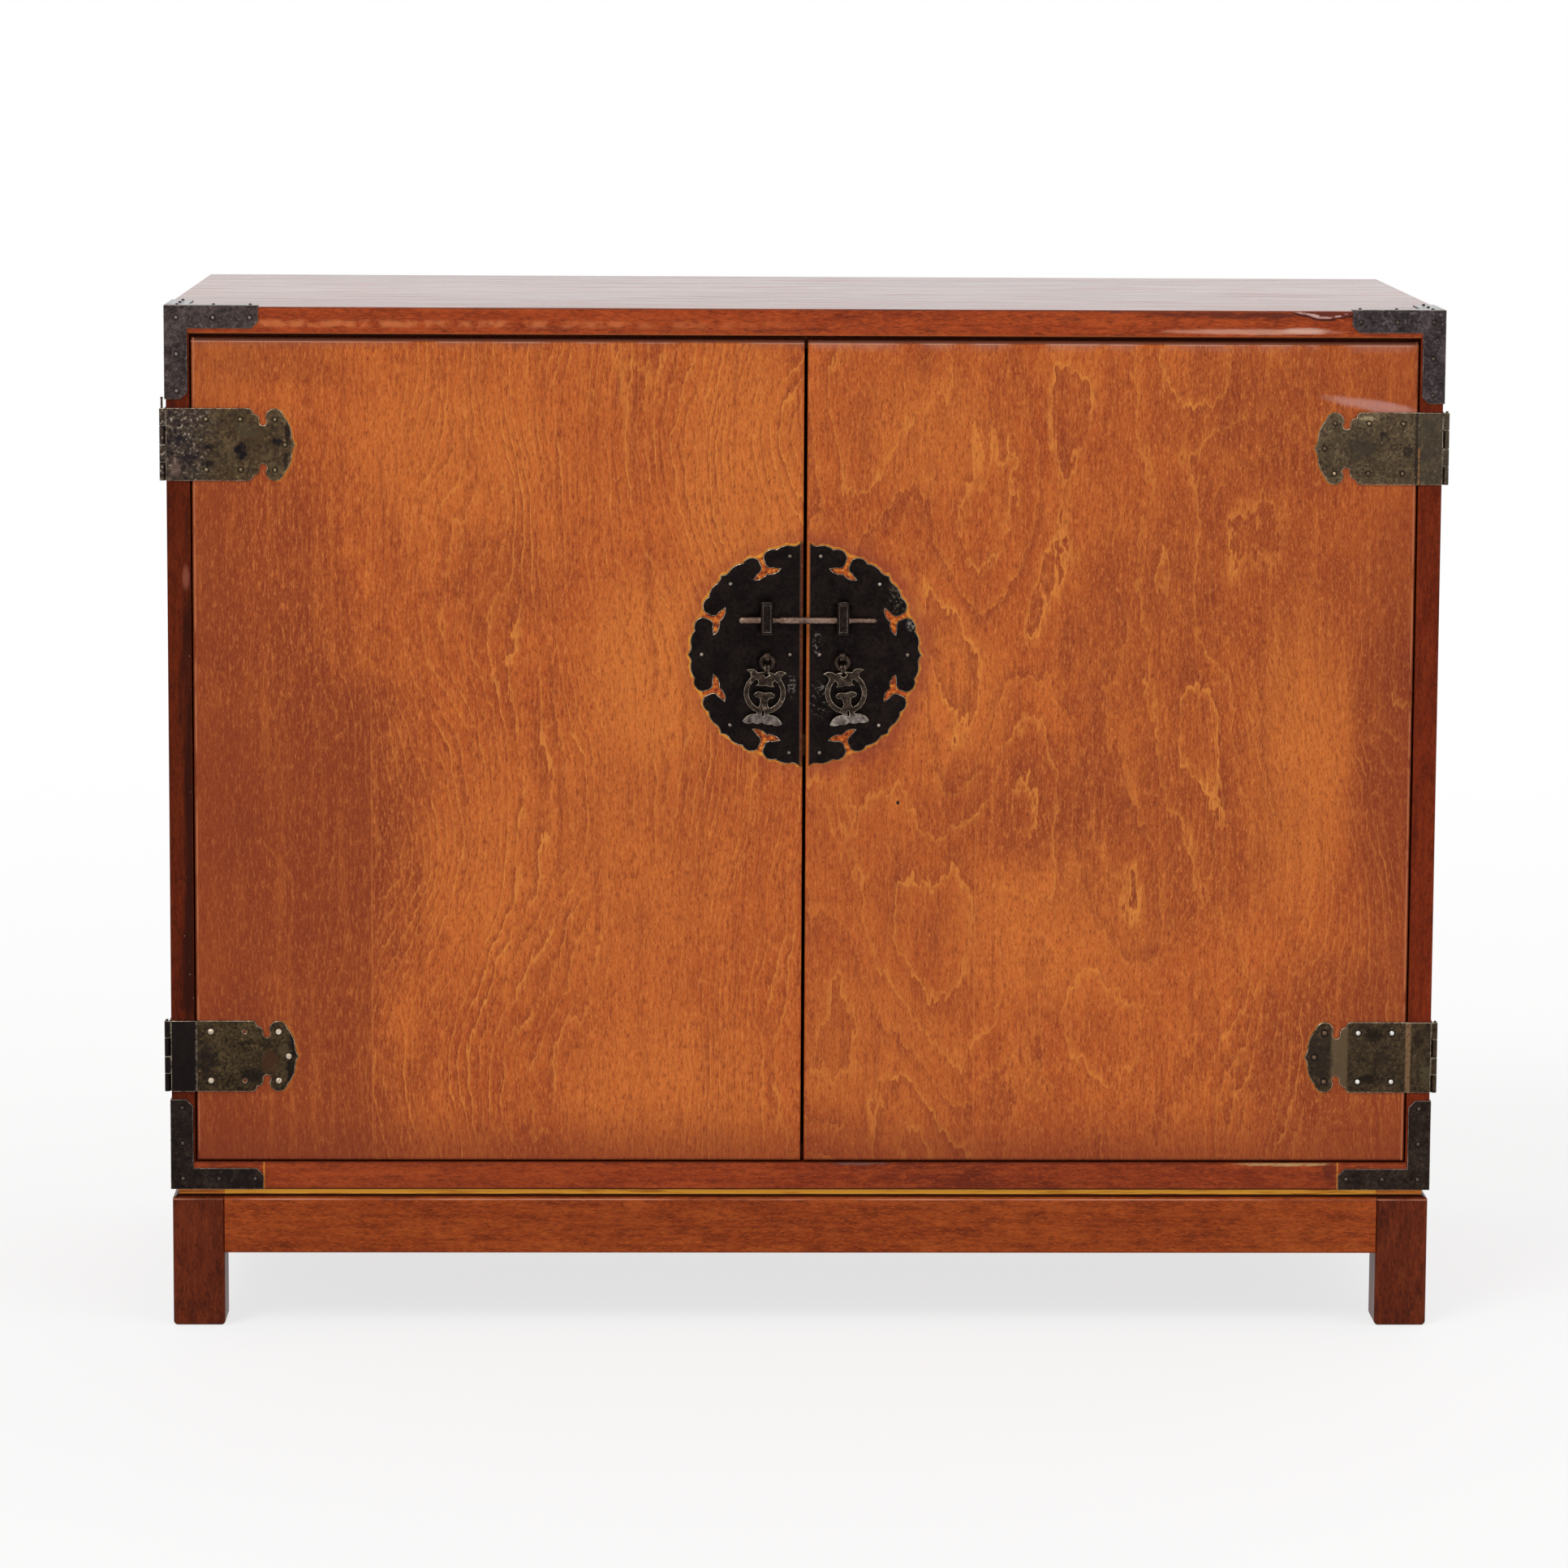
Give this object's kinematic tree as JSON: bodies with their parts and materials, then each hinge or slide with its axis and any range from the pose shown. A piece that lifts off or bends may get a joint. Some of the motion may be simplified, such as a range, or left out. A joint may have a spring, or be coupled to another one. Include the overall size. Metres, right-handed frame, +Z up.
{
  "type": "korean low chest",
  "caption": "Low two-door case on a stand, with iron strap hinges, corner brackets, a round lock plate, a sliding bolt and hanging pulls.",
  "frame": {"origin": "middle of the whole piece, hardware included, on the floor", "axes": "+X to the right of someone facing the doors, +Y from the doors to the back, +Z up"},
  "size_m": [1.1298, 0.5218, 0.9098],
  "materials": {
    "case_wood": "dark red-brown lacquer, satin",
    "door_wood": "orange-brown lacquer, semi-gloss",
    "inner_wood": "plain oiled wood, matt",
    "stand_wood": "dark red-brown lacquer, satin",
    "hinge_iron": "aged forged iron, olive-brown, waxed",
    "lock_iron": "near-black forged iron, waxed",
    "pull_iron": "dark forged iron, worn on its edges",
    "small_steel": "dull steel"
  },
  "bodies": {
    "case": {"top_panel": "case_wood", "bottom_panel": "case_wood", "side_panel_left": "case_wood", "side_panel_right": "case_wood", "back_panel": "inner_wood", "back_nails": "small_steel", "shelf": "inner_wood", "shelf_pins": "small_steel", "door_stop_top": "inner_wood", "door_stop_bottom": "inner_wood", "leg_front_left": "stand_wood", "leg_front_right": "stand_wood", "leg_back_left": "stand_wood", "leg_back_right": "stand_wood", "apron_front": "stand_wood", "apron_back": "stand_wood", "apron_left": "stand_wood", "apron_right": "stand_wood", "corner_blocks": "inner_wood", "stand_screws": "small_steel", "corner_bracket_upper_left": "hinge_iron", "corner_bracket_upper_right": "hinge_iron", "corner_bracket_lower_left": "hinge_iron", "corner_bracket_lower_right": "hinge_iron", "bracket_nails": "hinge_iron", "hinge_leaf_upper_left": "hinge_iron", "hinge_leaf_upper_right": "hinge_iron", "hinge_leaf_lower_left": "hinge_iron", "hinge_leaf_lower_right": "hinge_iron", "hinge_leaf_nails": "hinge_iron", "hinge_pin_upper_left": "hinge_iron", "hinge_pin_upper_right": "hinge_iron", "hinge_pin_lower_left": "hinge_iron", "hinge_pin_lower_right": "hinge_iron"},
    "door_left": {"door_left": "door_wood", "hinge_strap_upper_left": "hinge_iron", "hinge_strap_lower_left": "hinge_iron", "hinge_nails_upper_left": "hinge_iron", "hinge_nails_lower_left": "hinge_iron", "lock_plate_left": "lock_iron", "lock_nails_left": "lock_iron", "bolt_keeper_left": "pull_iron", "pull_eye_left": "pull_iron"},
    "door_right": {"door_right": "door_wood", "hinge_strap_upper_right": "hinge_iron", "hinge_strap_lower_right": "hinge_iron", "hinge_nails_upper_right": "hinge_iron", "hinge_nails_lower_right": "hinge_iron", "lock_plate_right": "lock_iron", "lock_nails_right": "lock_iron", "bolt_keeper_right": "pull_iron", "pull_eye_right": "pull_iron"},
    "bolt": {"bolt_pin": "pull_iron"},
    "link_left": {"pull_link_left": "pull_iron"},
    "link_right": {"pull_link_right": "pull_iron"},
    "pendant_left": {"pull_pendant_left": "pull_iron"},
    "pendant_right": {"pull_pendant_right": "pull_iron"}
  },
  "joints": [
    {"name": "door_left_hinge", "type": "hinge", "parent": "case", "child": "door_left", "pos_m": [-0.5626, -0.24705, 0.5135], "axis": [0, 0, -1], "range_deg": [0, 180]},
    {"name": "door_right_hinge", "type": "hinge", "parent": "case", "child": "door_right", "pos_m": [0.5626, -0.24705, 0.5135], "axis": [0, 0, 1], "range_deg": [0, 180]},
    {"name": "bolt_slide", "type": "slide", "parent": "door_left", "child": "bolt", "axis": [-1, 0, 0], "range_m": [0, 0.075]},
    {"name": "link_left_swing", "type": "hinge", "parent": "door_left", "child": "link_left", "pos_m": [-0.033, -0.25465, 0.5973], "axis": [0, 1, 0], "range_deg": [-20, 35]},
    {"name": "pendant_left_lift", "type": "hinge", "parent": "link_left", "child": "pendant_left", "pos_m": [-0.0334, -0.25465, 0.59222], "axis": [-0.9969, 0, 0.0785], "range_deg": [-3, 100]},
    {"name": "link_right_swing", "type": "hinge", "parent": "door_right", "child": "link_right", "pos_m": [0.033, -0.25465, 0.5973], "axis": [0, -1, 0], "range_deg": [-22, 33]},
    {"name": "pendant_right_lift", "type": "hinge", "parent": "link_right", "child": "pendant_right", "pos_m": [0.03362, -0.25465, 0.59224], "axis": [-0.9925, 0, -0.1219], "range_deg": [-3, 100]}
  ]
}
